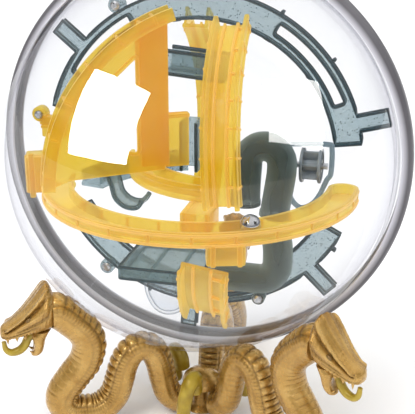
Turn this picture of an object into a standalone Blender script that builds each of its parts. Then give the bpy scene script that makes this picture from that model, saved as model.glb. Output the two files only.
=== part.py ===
"""A clear maze ball with an equator band, resting on a stand of three arched serpents.

Lengths are in millimetres here, and MM turns them into metres.
The ball's own frame has its origin at the ball's centre: X along the band's plane, Y through
the two domes (the front dome is on -Y), Z up. Each serpent's frame has X pointing outwards
from the stand's middle, and Z up from the ground.
"""

import math

import bmesh
import bpy
from mathutils import Matrix, Vector

MM = 0.001

# Ball
BALL_R = 100.0  # outside of the clear domes
WALL = 2.0
BALL_HEIGHT = 148.0  # the ball's centre above the ground
BALL_TURN = -15.0  # degrees that the band's plane is turned from the X axis
FLANGE_R = 103.4
FLANGE_THICK = 2.0
BAND_R = 105.5  # middle of the band's wall
BAND_HALF = 6.4
BAND_WALL = 1.6
BAND_SEAM = 52.0  # degrees round the band
GAP = 0.3  # between pieces that touch

# Maze frame
FRAME_OUTER = 82.0
FRAME_INNER = 69.0
FRAME_THICK = 5.0
STRUT_R = 97.0
STRUT_HALF = 3.8
SLOT_R = 75.5
SLOT_HALF = 3.2
BOSS_R = 3.6
SCREW_HOLE = 1.7

# Steel ball and the horizontal track that it rests on
STEEL_R = 4.7625
TRACK_CENTRE = (2.5, -9.5)
TRACK_INNER = 64.0
TRACK_OUTER = 79.0
TRACK_LOW = -16.0
TRACK_TOP = -9.0
TRACK_WALL = 2.0
STEEL_ANGLE = -57.5

# Sail: the upright quarter disc at the front left
SAIL_TURN = 29.0
SAIL_Y = -39.0
SAIL_R = 79.0
SAIL_THICK = 3.0

# Meridian track: the upright arc that crosses the front
MERIDIAN_X = 31.0
MERIDIAN_HALF = 8.0
MERIDIAN_INNER = 76.5
MERIDIAN_OUTER = 84.0

# Spinner
SPIN = (58.5, -12.0, 2.0)
SPIN_R = 8.5
SPIN_HALF = 5.0
AXLE_R = 1.5
HOOP_R = 1.3

# Stand
SERPENTS = {"left": 195.0, "right": 315.0, "back": 75.0}
HUB_HEIGHT = 15.0
NECK_R = 9.3

parts = bpy.data.collections.new("maze_ball_puzzle")
cutters = bpy.data.collections.new("cutters")


# ---------------------------------------------------------------- helpers

def clear_scene():
    for old in list(bpy.data.objects):
        bpy.data.objects.remove(old, do_unlink=True)
    bpy.context.scene.collection.children.link(parts)
    bpy.context.scene.collection.children.link(cutters)


def material(name, colour, roughness, metallic=0.0):
    made = bpy.data.materials.new(name)
    made.use_nodes = True
    shader = made.node_tree.nodes["Principled BSDF"]
    shader.inputs["Base Color"].default_value = (*colour, 1.0)
    shader.inputs["Roughness"].default_value = roughness
    shader.inputs["Metallic"].default_value = metallic
    return made


def empty(name, location, turn, parent=None):
    made = bpy.data.objects.new(name, None)
    made.parent = parent
    made.location = Vector(location) * MM
    made.rotation_euler = (0.0, 0.0, math.radians(turn))
    parts.objects.link(made)
    return made


def basis(x_axis, z_axis, origin=(0.0, 0.0, 0.0)):
    """A placement whose local X and Z point along the given directions."""
    x = Vector(x_axis).normalized()
    z = Vector(z_axis).normalized()
    y = z.cross(x)
    turn = Matrix((x, y, z)).transposed().to_4x4()
    return Matrix.Translation(Vector(origin) * MM) @ turn


def place(name, data, look, parent, where=None, group=None):
    made = bpy.data.objects.new(name, data)
    if look is not None:
        data.materials.append(look)
    made.parent = parent
    made.matrix_local = where if where is not None else Matrix.Identity(4)
    (group or parts).objects.link(made)
    if group is cutters:
        made.hide_render = True
        made.display_type = "WIRE"
    return made


def profile_mesh(name, points, closed):
    """A chain of edges in the XZ plane: distance from the axis, and height along it."""
    shape = bmesh.new()
    corners = [shape.verts.new((r * MM, 0.0, z * MM)) for r, z in points]
    for a, b in zip(corners, corners[1:]):
        shape.edges.new((a, b))
    if closed:
        shape.edges.new((corners[-1], corners[0]))
    mesh = bpy.data.meshes.new(name)
    shape.to_mesh(mesh)
    shape.free()
    return mesh


def turned(name, points, look, parent, where=None, sweep=360.0, steps=24, wall=0.0,
           closed=False, group=None):
    """A profile turned about local Z; a part turn is an open sheet that wall thickens."""
    made = place(name, profile_mesh(name, points, closed), look, parent, where, group)
    screw = made.modifiers.new("Turn", "SCREW")
    screw.angle = math.radians(sweep)
    screw.steps = steps
    screw.render_steps = steps
    screw.use_merge_vertices = True
    screw.merge_threshold = 0.00005
    if wall:
        shell = made.modifiers.new("Wall", "SOLIDIFY")
        shell.thickness = wall * MM
        shell.offset = 0.0
        shell.use_even_offset = True
    return made


def block(name, size, look, parent, where=None, group=None):
    shape = bmesh.new()
    bmesh.ops.create_cube(shape, size=1.0)
    bmesh.ops.scale(shape, vec=Vector(size) * MM, verts=shape.verts)
    mesh = bpy.data.meshes.new(name)
    shape.to_mesh(mesh)
    shape.free()
    return place(name, mesh, look, parent, where, group)


def rod(name, radius, length, look, parent, where=None, sides=16, group=None):
    """A cylinder along local Z, centred."""
    shape = bmesh.new()
    bmesh.ops.create_cone(shape, cap_ends=True, segments=sides, radius1=radius * MM,
                          radius2=radius * MM, depth=length * MM)
    mesh = bpy.data.meshes.new(name)
    shape.to_mesh(mesh)
    shape.free()
    return place(name, mesh, look, parent, where, group)


def as_mesh(curve):
    """The same object as a closed mesh, so that it can take a Boolean."""
    bpy.context.view_layer.update()
    seen = curve.evaluated_get(bpy.context.evaluated_depsgraph_get())
    mesh = bpy.data.meshes.new_from_object(seen)
    shape = bmesh.new()
    shape.from_mesh(mesh)
    bmesh.ops.remove_doubles(shape, verts=shape.verts, dist=0.00001)
    bmesh.ops.recalc_face_normals(shape, faces=shape.faces)
    if shape.calc_volume(signed=True) < 0.0:
        bmesh.ops.reverse_faces(shape, faces=shape.faces)
    shape.to_mesh(mesh)
    shape.free()
    name, parent, local = curve.name, curve.parent, curve.matrix_local.copy()
    group = curve.users_collection[0]
    bpy.data.objects.remove(curve, do_unlink=True)
    return place(name, mesh, None, parent, local, group)


def plate(name, loops, thickness, look, parent, where=None, group=None):
    """A flat outline in local XY, with any further loops as its holes."""
    curve = bpy.data.curves.new(name, "CURVE")
    curve.dimensions = "2D"
    curve.fill_mode = "BOTH"
    curve.extrude = thickness / 2 * MM
    for loop in loops:
        spline = curve.splines.new("POLY")
        spline.points.add(len(loop) - 1)
        for point, (x, y) in zip(spline.points, loop):
            point.co = (x * MM, y * MM, 0.0, 1.0)
        spline.use_cyclic_u = True
    return as_mesh(place(name, curve, look, parent, where, group))


def smooth_path(points, count):
    """Points spread evenly in number along a Catmull-Rom curve through the given ones."""
    knots = [Vector(p) for p in points]
    knots = [2 * knots[0] - knots[1], *knots, 2 * knots[-1] - knots[-2]]
    spans = len(knots) - 3
    found = []
    for i in range(count):
        at = i * spans / (count - 1)
        k = min(int(at), spans - 1)
        t = at - k
        a, b, c, d = knots[k:k + 4]
        found.append(0.5 * (2 * b + (c - a) * t + (2 * a - 5 * b + 4 * c - d) * t ** 2
                            + (3 * b - a - 3 * c + d) * t ** 3))
    return found


def tube(name, path, radii, look, parent, where=None, resolution=2, group=None):
    """A round bar along a path, with one radius or one for each point."""
    curve = bpy.data.curves.new(name, "CURVE")
    curve.dimensions = "3D"
    curve.twist_mode = "MINIMUM"
    curve.bevel_resolution = resolution
    curve.use_fill_caps = True
    curve.bevel_depth = MM
    spline = curve.splines.new("POLY")
    spline.points.add(len(path) - 1)
    for i, point in enumerate(spline.points):
        point.co = (*(Vector(path[i]) * MM), 1.0)
        point.radius = radii if isinstance(radii, float) else radii[i]
    return place(name, curve, look, parent, where, group)


def combine(target, other, operation):
    step = target.modifiers.new(operation.title(), "BOOLEAN")
    step.operation = operation
    step.object = other
    return target


def pipe(name, path, outer, inner, look, parent):
    """A hollow tube: the outer bar with a longer, thinner one cut out of it."""
    body = as_mesh(tube(name, path, outer, look, parent))
    first = Vector(path[0])
    last = Vector(path[-1])
    longer = [first + (first - Vector(path[1])).normalized() * 2,
              *path, last + (last - Vector(path[-2])).normalized() * 2]
    bore = as_mesh(tube(name + "_bore", longer, inner, None, parent, group=cutters))
    return combine(body, bore, "DIFFERENCE")


def loft(name, rings, look, parent, where=None):
    """A closed skin over rings of equally many points, first ring to last."""
    shape = bmesh.new()
    rows = [[shape.verts.new(Vector(p) * MM) for p in ring] for ring in rings]
    count = len(rows[0])
    for a, b in zip(rows, rows[1:]):
        for i in range(count):
            j = (i + 1) % count
            shape.faces.new((a[i], a[j], b[j], b[i]))
    shape.faces.new(rows[0][::-1])
    shape.faces.new(rows[-1])
    bmesh.ops.recalc_face_normals(shape, faces=shape.faces)
    mesh = bpy.data.meshes.new(name)
    shape.to_mesh(mesh)
    shape.free()
    return place(name, mesh, look, parent, where)


def polar(radius, degrees, centre=(0.0, 0.0)):
    angle = math.radians(degrees)
    return (centre[0] + radius * math.cos(angle), centre[1] + radius * math.sin(angle))


def arc(radius, start, end, steps, centre=(0.0, 0.0)):
    return [polar(radius, start + (end - start) * i / steps, centre) for i in range(steps + 1)]


UPRIGHT = Matrix.Rotation(math.radians(90.0), 4, "X")  # local XY stands up as XZ


# ---------------------------------------------------------------- the ball's shell

def dome(name, side, look, ball):
    """Half of the clear ball with its flange; side is -1 for the front and 1 for the rear."""
    inner = BALL_R - WALL
    face = GAP / 2
    lip = face + FLANGE_THICK
    lift = math.degrees(math.asin(lip / BALL_R))
    outside = [(0.0, BALL_R), *(polar(BALL_R, a) for a in range(80, 9, -10)),
               polar(BALL_R, lift)]
    flange = [(FLANGE_R, lip), (FLANGE_R, face), (inner, face)]
    inside = [*(polar(inner, a) for a in range(10, 81, 10)), (0.0, inner)]
    return turned(name, outside + flange + inside, look, ball,
                  basis((1, 0, 0), (0, side, 0)), steps=36)


def band_half(name, start, look, ball):
    """Half of the band: a channel that clasps both flanges."""
    edge = BALL_R + 1.2
    section = [(edge, -BAND_HALF), (BAND_R - 1.4, -BAND_HALF + 0.6), (BAND_R, -BAND_HALF / 2),
               (BAND_R, BAND_HALF / 2), (BAND_R - 1.4, BAND_HALF - 0.6), (edge, BAND_HALF)]
    joint = math.degrees(GAP / BAND_R)
    first = math.radians(start + joint / 2)
    return turned(name, section, look, ball,
                  basis((math.cos(first), 0, math.sin(first)), (0, -1, 0)),
                  sweep=180.0 - joint, steps=28, wall=BAND_WALL)


def screw(name, at, axis, look, parent, head=2.6, depth=4.0):
    """A small machine screw: domed head, a driver recess and a shank."""
    side = Vector(axis).orthogonal()
    shape = [(0.0, 0.2), (0.9, 0.2), (1.1, 1.3), (head - 0.8, 1.3), (head, 0.5), (head, 0.0),
             (SCREW_HOLE - 0.3, 0.0), (SCREW_HOLE - 0.3, -depth), (0.0, -depth)]
    return turned(name, shape, look, parent, basis(side, axis, at), steps=12)


# ---------------------------------------------------------------- the maze frame

def frame_outline(start, end, struts):
    """A part ring from start to end degrees, with struts that reach out to the band."""
    outer = []
    angle = start
    stops = sorted(struts) + [end]
    for stop in stops:
        half = 0.0
        if stop != end:
            half = math.degrees(math.asin(STRUT_HALF / FRAME_OUTER))
        outer += arc(FRAME_OUTER, angle, stop - half, max(2, int((stop - angle) / 7)))
        if stop != end:
            far = math.degrees(math.asin(STRUT_HALF / STRUT_R))
            outer += [polar(STRUT_R, stop - far), polar(STRUT_R, stop + far)]
        angle = stop + half
    inner = arc(FRAME_INNER, end, start, int((end - start) / 7))
    return outer + inner


def slot_loop(start, end):
    """A round-ended arc slot."""
    out = arc(SLOT_R + SLOT_HALF, start, end, 8)
    back = arc(SLOT_R - SLOT_HALF, end, start, 8)
    tip = polar(SLOT_R, end + 1.6)
    tail = polar(SLOT_R, start - 1.6)
    return [*out, tip, *back, tail]


def frame_arc(name, start, end, struts, slots, bosses, look, ball):
    loops = [frame_outline(start, end, struts)]
    loops += [slot_loop(*slot) for slot in slots]
    body = plate(name, loops, FRAME_THICK, look, ball, UPRIGHT)
    for i, (radius, angle) in enumerate(bosses):
        x, z = polar(radius, angle)
        upright = basis((1, 0, 0), (0, -1, 0), (x, 0, z))
        boss = rod(f"{name}_boss_{i}", BOSS_R, FRAME_THICK + 1.4, None, ball, upright,
                   group=cutters)
        hole = rod(f"{name}_hole_{i}", SCREW_HOLE, FRAME_THICK + 9, None, ball, upright,
                   sides=10, group=cutters)
        combine(body, boss, "UNION")
        combine(body, hole, "DIFFERENCE")
    return body


# ---------------------------------------------------------------- tracks

def channel(inner, outer, low, high):
    """A U section, open at the top, for a track turned about Z."""
    half = TRACK_WALL / 2
    return [(inner + half, high), (inner + half, low + half), (outer - half, low + half),
            (outer - half, high)]


def flat_track(name, centre, inner, outer, low, high, start, end, look, ball, steps=22):
    where = basis((math.cos(math.radians(start)), math.sin(math.radians(start)), 0), (0, 0, 1),
                  (centre[0], centre[1], 0))
    return turned(name, channel(inner, outer, low, high), look, ball, where,
                  sweep=end - start, steps=steps, wall=TRACK_WALL)


def upright_track(name, middle, half, inner, outer, start, end, look, ball, side=-1, steps=16,
                  lean=0.0):
    """An arc track about the X axis, open outwards, from start to end degrees above the
    horizon; lean tips its plane to the side."""
    angle = math.radians(start)
    upright = basis((0, side * math.cos(angle), math.sin(angle)), (side, 0, 0))
    where = Matrix.Rotation(math.radians(lean), 4, "Y") @ upright
    wall = TRACK_WALL / 2
    near = side * middle - half + wall
    far = side * middle + half - wall
    section = [(outer, near), (inner + wall, near), (inner + wall, far), (outer, far)]
    return turned(name, section, look, ball, where, sweep=end - start, steps=steps,
                  wall=TRACK_WALL)


def add_block(target, size, at, ball, turn=0.0):
    where = Matrix.Translation(Vector(at) * MM) @ Matrix.Rotation(math.radians(turn), 4, "Z")
    name = f"{target.name}_block_{len(target.modifiers)}"
    other = block(name, size, None, target.parent or ball, where, cutters)
    return combine(target, other, "UNION")


def sail(look, ball):
    """The quarter-disc panel with its window, its rim track and its upright column."""
    turn = Matrix.Rotation(math.radians(SAIL_TURN), 4, "Z")
    wall = turn @ Matrix.Translation((0.0, SAIL_Y * MM, 0.0)) @ UPRIGHT
    outline = [*arc(SAIL_R + 1, 179.5, 107.5, 12), (-25.0, 74.0), (-27.0, 6.0), (-70.0, 4.0)]
    window = [(-39.0, 60.0), (-50.0, 50.0), (-60.0, 36.0), (-65.0, 20.0), (-39.0, 14.0)]
    panel = plate("sail_panel", [outline, window], SAIL_THICK, look, ball, wall)
    start = math.radians(106.5)
    rim_place = turn @ basis((math.cos(start), 0, math.sin(start)), (0, -1, 0))
    middle = -SAIL_Y
    section = [(SAIL_R + 4, middle - 5), (SAIL_R, middle - 5), (SAIL_R, middle + 5),
               (SAIL_R + 4, middle + 5)]
    rim = turned("sail_rim", section, None, ball, rim_place, sweep=73.0, steps=14,
                 wall=TRACK_WALL, group=cutters)
    combine(panel, rim, "UNION")
    column = block("sail_column", (13.0, 11.0, 66.0), None, ball,
                   turn @ Matrix.Translation(Vector((-31.5, SAIL_Y + 4.0, 41.0)) * MM), cutters)
    combine(panel, column, "UNION")
    step = block("sail_step", (14.0, 4.0, 25.0), None, ball,
                 turn @ Matrix.Translation(Vector((-22.5, SAIL_Y + 1.0, 19.5)) * MM), cutters)
    return combine(panel, step, "UNION")


# ---------------------------------------------------------------- stand

def serpent_path():
    """The middle line of a serpent's body, from behind its head to the hub."""
    knots = [(80.1, 69.7), (77.6, 69.6), (74.6, 67.6), (70.3, 63.5), (64.5, 57.0), (61.5, 49.0),
             (64.0, 39.0), (71.0, 30.0), (76.6, 22.0), (77.3, 15.5), (73.0, 10.3), (65.0, 8.6),
             (57.0, 9.2), (49.5, 15.0), (46.0, 24.0), (43.5, 33.0), (39.5, 40.0), (33.5, 43.0),
             (27.5, 40.0), (24.0, 32.0), (22.0, 22.0), (19.5, 13.0), (15.0, 8.0), (11.0, 7.0)]
    return [(x, 0.0, z) for x, z in knots]


def serpent_radius(along):
    """Body radius at a fraction of the way from the head to the hub."""
    return NECK_R - 2.2 * along


def upright_ring(x, low, high, half, sides=10):
    """An oval in an upright plane across the serpent's own plane."""
    middle, rise = (low + high) / 2, (high - low) / 2
    turns = [2 * math.pi * i / sides for i in range(sides)]
    return [(x, half * math.cos(t), middle + rise * math.sin(t)) for t in turns]


def level_ring(z, near, far, half, sides=8):
    """The same kind of oval, lying flat."""
    middle, reach = (near + far) / 2, (far - near) / 2
    turns = [2 * math.pi * i / sides for i in range(sides)]
    return [(middle + reach * math.sin(t), half * math.cos(t), z) for t in turns]


def serpent(side, turn, skin, mouth):
    frame = empty(f"serpent_{side}", (0.0, 0.0, 0.0), turn)
    path = smooth_path(serpent_path(), 46)
    radii = [serpent_radius(i / 45) for i in range(46)]
    tube(f"serpent_{side}_body", path, radii, skin, frame, resolution=3)
    skull = [(81.0, 62.5, 85.5, 7.6), (84.0, 61.0, 85.5, 10.8), (89.5, 59.5, 79.5, 10.0),
             (95.5, 58.5, 72.5, 7.8), (101.5, 57.6, 67.0, 6.0), (106.0, 58.4, 63.4, 3.6)]
    loft(f"serpent_{side}_head", [upright_ring(*ring) for ring in skull], skin, frame)
    jaw = [(58.4, 84.5, 91.5, 6.0), (55.0, 84.3, 91.0, 5.6), (50.5, 85.0, 91.0, 4.6),
           (46.5, 87.0, 91.0, 2.8)]
    loft(f"serpent_{side}_jaw", [level_ring(*ring) for ring in jaw], skin, frame)
    lick = [(93.6, 0.0, 55.8), (95.0, 0.0, 52.0), (98.0, 0.0, 49.2), (102.0, 0.0, 48.6),
            (104.6, 0.0, 51.0), (105.2, 0.0, 55.6)]
    tube(f"serpent_{side}_tongue", smooth_path(lick, 12),
         [1.9 - 0.07 * i for i in range(12)], mouth, frame)
    curl = empty(f"serpent_{side}_tail_turn", (0.0, 0.0, 0.0), turn + 60.0)
    tail = [(15.8, 0.0, 19.0), (16.2, 0.5, 25.0), (19.5, 1.0, 28.5), (23.3, -1.0, 25.0),
            (24.6, -3.0, 15.0), (24.0, -4.0, 5.2)]
    tube(f"serpent_{side}_tail", smooth_path(tail, 14), [4.6 - 0.08 * i for i in range(14)],
         mouth, curl)


def hub(look):
    """The round boss that the three bodies grow out of, with a flat foot."""
    outline = [(0.0, HUB_HEIGHT + 10), (6.0, HUB_HEIGHT + 8), (10.5, HUB_HEIGHT + 5),
               (10.5, HUB_HEIGHT), (4.2, HUB_HEIGHT - 1), (4.2, 2.5), (8.0, 0.6), (8.0, 0.0),
               (0.0, 0.0)]
    return turned("stand_hub", outline, look, None, steps=24)


# ---------------------------------------------------------------- assembly

def build_shell(clear, grey, ball):
    dome("front_dome", -1, clear, ball)
    dome("rear_dome", 1, clear, ball)
    band_half("band_upper", BAND_SEAM, grey, ball)
    band_half("band_lower", BAND_SEAM + 180.0, grey, ball)


def build_frame(smoke, steel, ball):
    frame_arc("frame_upper", 8.0, 165.0, [15.0, 140.0], [(23.0, 60.0), (118.0, 150.0)],
              [(85.0, 120.0)], smoke, ball)
    frame_arc("frame_lower", 207.0, 333.0, [266.0, 315.5], [(273.0, 303.0)], [(85.0, 232.0)],
              smoke, ball)
    face = FRAME_THICK / 2 + 1.0
    for name, (radius, angle) in {"frame_screw_top": (85.0, 120.0),
                                  "frame_screw_low": (85.0, 232.0)}.items():
        x, z = polar(radius, angle)
        screw(name, (x, -face, z), (0, -1, 0), steel, ball)


def build_amber(amber, steel, ball):
    crescent = flat_track("crescent_track", TRACK_CENTRE, TRACK_INNER, TRACK_OUTER, TRACK_LOW,
                          TRACK_TOP, 190.0, 366.0, amber, ball)
    add_block(crescent, (10.0, 13.0, 19.0), (-77.5, -30.0, -6.5), ball, 22.0)
    add_block(crescent, (17.0, 9.0, 9.0), (32.0, -79.0, -19.7), ball, 18.0)
    sail(amber, ball)
    upright_track("meridian_track", MERIDIAN_X, MERIDIAN_HALF, MERIDIAN_INNER, MERIDIAN_OUTER,
                  -1.0, 62.0, amber, ball, lean=-5.0)
    upright_track("lower_chute", MERIDIAN_X - 6, MERIDIAN_HALF + 3, MERIDIAN_INNER, MERIDIAN_OUTER,
                  -52.0, -21.0, amber, ball, steps=10, lean=8.0)
    flat_track("inner_ramp", (20.0, -5.0), 41.0, 54.0, -5.0, 3.0, 186.0, 266.0, amber,
               ball, steps=10)
    bracket = block("side_bracket", (13.0, 6.0, 11.0), amber, ball,
                    Matrix.Translation(Vector((-79.0, -1.0, 9.5)) * MM))
    add_block(bracket, (7.0, 6.0, 8.0), (-86.0, -1.0, 14.5), ball)
    hole_at = basis((1, 0, 0), (0, -1, 0), (-86.5, 0.0, 16.0))
    hole = rod("side_bracket_hole", SCREW_HOLE, 20.0, None, ball, hole_at, 10, cutters)
    combine(bracket, hole, "DIFFERENCE")
    screw("bracket_screw", (-86.5, -4.3, 16.0), (0, -1, 0), steel, ball, 2.2, 3.0)
    upright_track("rear_arch", -14.0, 7.0, 70.0, 82.0, -40.0, 55.0, amber, ball, side=1)


def build_smoke(smoke, clear, steel, ball):
    bridge = block("upper_bridge", (30.0, 13.0, 12.0), smoke, ball,
                   Matrix.Translation(Vector((2.0, -12.0, 48.5)) * MM)
                   @ Matrix.Rotation(math.radians(5.0), 4, "Y"))
    trough = block("upper_bridge_trough", (40.0, 10.0, 12.0), None, ball,
                   Matrix.Translation(Vector((2.0, -12.0, 51.0)) * MM)
                   @ Matrix.Rotation(math.radians(5.0), 4, "Y"), cutters)
    combine(bridge, trough, "DIFFERENCE")
    chute = block("centre_chute", (9.0, 12.0, 25.0), smoke, ball,
                  Matrix.Translation(Vector((0.0, -18.0, 10.0)) * MM))
    slot = block("centre_chute_slot", (6.0, 12.0, 40.0), None, ball,
                 Matrix.Translation(Vector((0.0, -20.0, 10.0)) * MM), cutters)
    combine(chute, slot, "DIFFERENCE")
    wave = [(-46.0, -2.0), (-41.0, -4.0), (-38.0, -10.0), (-36.0, -17.0), (-31.0, -21.0),
            (-25.0, -21.0), (-22.0, -17.0)]
    upper = smooth_path([(x, z, 0.0) for x, z in wave], 16)
    loop = [(p.x, p.y + 1) for p in upper] + [(p.x - 0.6, p.y - 1) for p in reversed(upper)]
    plate("wave_strip", [loop], 13.0, smoke, ball,
          Matrix.Translation(Vector((0.0, -24.0, 0.0)) * MM) @ UPRIGHT)
    tray = block("lower_tray", (42.0, 43.0, 6.5), smoke, ball,
                 Matrix.Translation(Vector((-8.0, -27.5, -48.5)) * MM))
    pan = block("lower_tray_pan", (38.5, 39.5, 9.0), None, ball,
                Matrix.Translation(Vector((-8.0, -27.5, -45.5)) * MM), cutters)
    combine(tray, pan, "DIFFERENCE")
    cup = [(12.5, 0.0), (12.5, -8.0), (9.5, -18.0), (4.0, -23.0), (0.0, -23.8), (0.0, -22.2),
           (3.6, -21.4), (8.2, -17.0), (10.9, -7.8), (10.9, 0.0)]
    turned("catch_bowl", cup, clear, ball, Matrix.Translation(Vector((-8.5, -31.0, -52.1)) * MM),
           steps=20, closed=True)
    hoop_y = -30.0
    bend = [(30.0, hoop_y, -14.0), (30.3, hoop_y, -4.0), (30.6, hoop_y, 4.0)]
    bend += [(x, hoop_y, z) for x, z in arc(8.2, 170.0, 10.0, 8, (39.0, 7.0))]
    bend += [(47.0, hoop_y, 2.0), (45.6, hoop_y, -8.0), (44.0, hoop_y, -19.0)]
    pipe("u_pipe", bend, 7.0, 5.5, smoke, ball)
    elbow_y = -34.0
    elbow = [(17.0, elbow_y, -50.5), (26.0, elbow_y, -50.5), (36.0, elbow_y, -50.5)]
    elbow += [(x, elbow_y, z) for x, z in arc(9.0, 270.0, 360.0, 6, (38.0, -41.5))]
    elbow += [(47.0, elbow_y, -34.0), (46.0, elbow_y, -27.0)]
    low = pipe("elbow_pipe", elbow, 7.2, 5.7, smoke, ball)
    boss_at = basis((1, 0, 0), (0, -1, 0), (38.5, elbow_y - 1, -59.5))
    combine(low, rod("elbow_boss", 3.2, 6.0, None, ball, boss_at, 12, cutters), "UNION")
    combine(low, rod("elbow_hole", SCREW_HOLE, 9.0, None, ball, boss_at, 10, cutters),
            "DIFFERENCE")
    screw("elbow_screw", (38.5, elbow_y - 4.3, -59.5), (0, -1, 0), steel, ball, 2.2, 3.0)
    flat_track("rear_gallery", (0.0, 0.0), 60.0, 74.0, -28.0, -19.0, 112.0, 168.0, smoke, ball,
               steps=10)


def build_spinner(smoke, grey, steel, ball):
    x, y, z = SPIN
    near, far = x - 12.0, x + 9.5
    corners = [(near, 10.0), (near, -1.0), (near + 0.5, -9.0), (near + 3.0, -16.5),
               (near + 7.5, -20.0), (near + 13.0, -17.5), (near + 16.5, -12.5), (far - 3.1, -7.8),
               (far - 1.7, -4.5), (far, -1.0), (far, 11.0), (far - 2.0, 13.0), (near + 2.0, 12.0)]
    hoop = tube("spinner_hoop", [(a, y, b) for a, b in corners], HOOP_R, smoke, ball)
    hoop.data.splines[0].use_cyclic_u = True
    hoop = as_mesh(hoop)
    along = basis((0, 0, 1), (1, 0, 0), SPIN)
    wheel = rod("spinner_wheel", SPIN_R, 2 * SPIN_HALF, grey, ball, along, 20)
    bore = rod("spinner_bore", AXLE_R + 0.3, 30.0, None, ball, along, 12, cutters)
    combine(wheel, bore, "DIFFERENCE")
    for i in range(5):
        angle = 72.0 * i + 36.0
        cy, cz = polar(5.3, angle)
        pocket = rod(f"spinner_pocket_{i}", 2.2, 30.0, None, ball,
                     basis((0, 0, 1), (1, 0, 0), (x, y + cy, z + cz)), 8, cutters)
        combine(wheel, pocket, "DIFFERENCE")
    axle_at = basis((0, 0, 1), (1, 0, 0), ((near + far) / 2, y, z))
    rod("spinner_axle", AXLE_R, far - near - 2 * (HOOP_R + GAP), steel, ball, axle_at, 12)


def build_steel_ball(chrome, ball):
    """The ball rests on the floor of the crescent track, midway between its walls, and
    swings about the track's centre."""
    pivot = empty("steel_ball_pivot", (*TRACK_CENTRE, 0.0), STEEL_ANGLE, ball)
    middle = (TRACK_INNER + TRACK_OUTER) / 2
    z = TRACK_LOW + TRACK_WALL + STEEL_R + 0.1
    shape = bmesh.new()
    bmesh.ops.create_icosphere(shape, subdivisions=3, radius=STEEL_R * MM)
    mesh = bpy.data.meshes.new("steel_ball")
    shape.to_mesh(mesh)
    shape.free()
    mesh.shade_smooth()
    place("steel_ball", mesh, chrome, pivot, Matrix.Translation(Vector((middle, 0, z)) * MM))


def main():
    clear_scene()
    clear = material("clear", (0.93, 0.95, 0.97), 0.05)
    amber = material("amber", (0.86, 0.50, 0.05), 0.25)
    smoke = material("smoke_blue", (0.20, 0.31, 0.34), 0.25)
    grey = material("band_grey", (0.25, 0.26, 0.27), 0.4)
    gold = material("old_gold", (0.53, 0.32, 0.09), 0.45)
    olive = material("olive_gold", (0.48, 0.33, 0.04), 0.45)
    steel = material("screw_steel", (0.55, 0.56, 0.58), 0.3, 1.0)
    chrome = material("chrome", (0.85, 0.85, 0.86), 0.05, 1.0)
    ball = empty("ball_frame", (0.0, 0.0, BALL_HEIGHT), BALL_TURN)
    build_shell(clear, grey, ball)
    build_frame(smoke, steel, ball)
    build_amber(amber, steel, ball)
    build_smoke(smoke, clear, steel, ball)
    build_spinner(smoke, grey, steel, ball)
    build_steel_ball(chrome, ball)
    hub(gold)
    for side, turn in SERPENTS.items():
        serpent(side, turn, gold, olive)


main()
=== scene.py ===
"""The looks of the maze ball puzzle: a clear ball with a grey equator band and translucent
amber and smoke-blue tracks inside, on a stand of arched serpents.

Shapes are worked out in millimetres. The ball's own frame has its origin at the ball's centre,
X along the band's plane and the front dome on -Y. A serpent's frame has X pointing outwards.
"""

import math

import bmesh
import bpy
import numpy as np
from mathutils import Matrix, Vector


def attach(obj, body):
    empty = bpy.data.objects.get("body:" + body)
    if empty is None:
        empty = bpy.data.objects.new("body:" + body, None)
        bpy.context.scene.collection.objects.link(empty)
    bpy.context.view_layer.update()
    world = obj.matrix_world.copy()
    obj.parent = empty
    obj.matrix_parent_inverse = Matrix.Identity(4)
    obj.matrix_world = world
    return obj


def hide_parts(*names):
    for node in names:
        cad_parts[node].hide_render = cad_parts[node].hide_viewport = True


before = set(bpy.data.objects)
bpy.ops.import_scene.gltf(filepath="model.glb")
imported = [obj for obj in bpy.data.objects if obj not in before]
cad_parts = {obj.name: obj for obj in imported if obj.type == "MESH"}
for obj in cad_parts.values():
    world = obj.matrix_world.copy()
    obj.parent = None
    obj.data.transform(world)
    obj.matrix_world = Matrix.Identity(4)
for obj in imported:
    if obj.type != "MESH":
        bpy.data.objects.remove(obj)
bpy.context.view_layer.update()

MM = 0.001
BALL_HEIGHT = 148.0
BALL_TURN = -15.0
BALL_R = 100.0
WALL = 2.0
FLANGE_R = 103.4
BAND_R = 105.5
BAND_HALF = 6.4
BAND_SEAM = 52.0
STEEL_R = 4.7625
STEEL_ANGLE = -57.5
TRACK_CENTRE = (2.5, -9.5)
TRACK_INNER = 64.0
TRACK_OUTER = 79.0
TRACK_LOW = -16.0
TRACK_TOP = -9.0
CUP_START = 360.2
FRAME_OUTER = 82.0
FRAME_INNER = 69.0
STRUT_R = 97.0
STRUT_HALF = 3.8
SLOT_R = 75.5
SLOT_HALF = 3.2
SAIL_TURN = 29.0
SAIL_Y = -39.0
SAIL_R = 79.0
SERPENTS = {"left": 195.0, "right": 315.0, "back": 75.0}
NECK_R = 9.3


# ---- mesh helpers

def move(x, y, z):
    return Matrix.Translation((x, y, z))


def turned(degrees, axis="Z"):
    return Matrix.Rotation(math.radians(degrees), 4, axis)


BALL = move(0.0, 0.0, BALL_HEIGHT * MM) @ turned(BALL_TURN)
UPRIGHT = turned(90.0, "X")


def polar(radius, degrees, centre=(0.0, 0.0)):
    angle = math.radians(degrees)
    return (centre[0] + radius * math.cos(angle), centre[1] + radius * math.sin(angle))


def arc(radius, start, end, steps, centre=(0.0, 0.0)):
    return [polar(radius, start + (end - start) * i / steps, centre) for i in range(steps + 1)]


def oblong(left, right, low, high):
    return [(left, low), (right, low), (right, high), (left, high)]


def basis(x_axis, z_axis, origin=(0.0, 0.0, 0.0)):
    x = Vector(x_axis).normalized()
    z = Vector(z_axis).normalized()
    y = z.cross(x)
    return Matrix.Translation(Vector(origin)) @ Matrix((x, y, z)).transposed().to_4x4()


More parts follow.
